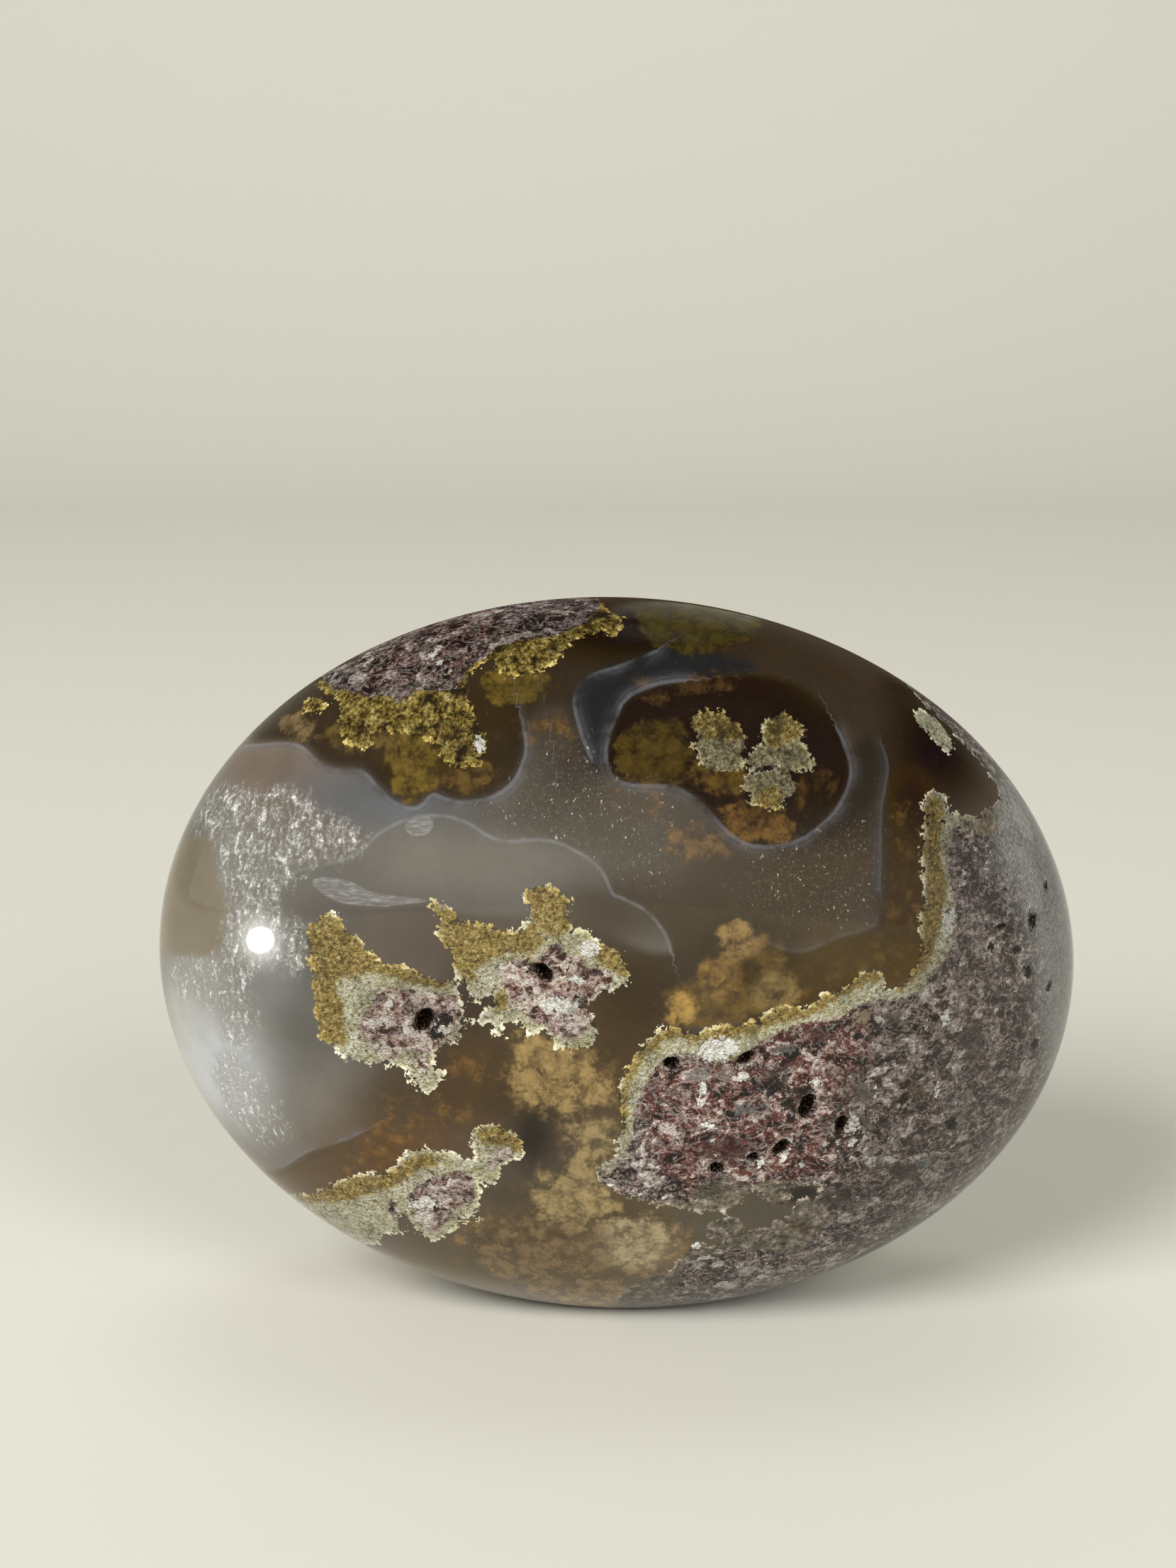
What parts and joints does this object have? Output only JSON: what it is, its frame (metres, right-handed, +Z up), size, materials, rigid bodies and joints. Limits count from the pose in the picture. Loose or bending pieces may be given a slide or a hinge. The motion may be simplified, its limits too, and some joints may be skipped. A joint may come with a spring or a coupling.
{
  "type": "palm stone",
  "caption": "Polished oval pebble of translucent moss agate with full rounded cheeks, small open pits and a small ground flat on its long edge to stand on.",
  "frame": {"origin": "middle of the base, on the floor under the middle of the stone as it stands on its long edge", "axes": "+Z up across the oval, X along the oval's long way, Y through the thickness with -Y the face seen in the picture"},
  "size_m": [0.06, 0.025, 0.047],
  "materials": {
    "agate": "high polish, smoky translucent chalcedony with ochre moss and mauve matrix"
  },
  "bodies": {
    "root": {"palm_stone": "agate"}
  },
  "joints": []
}
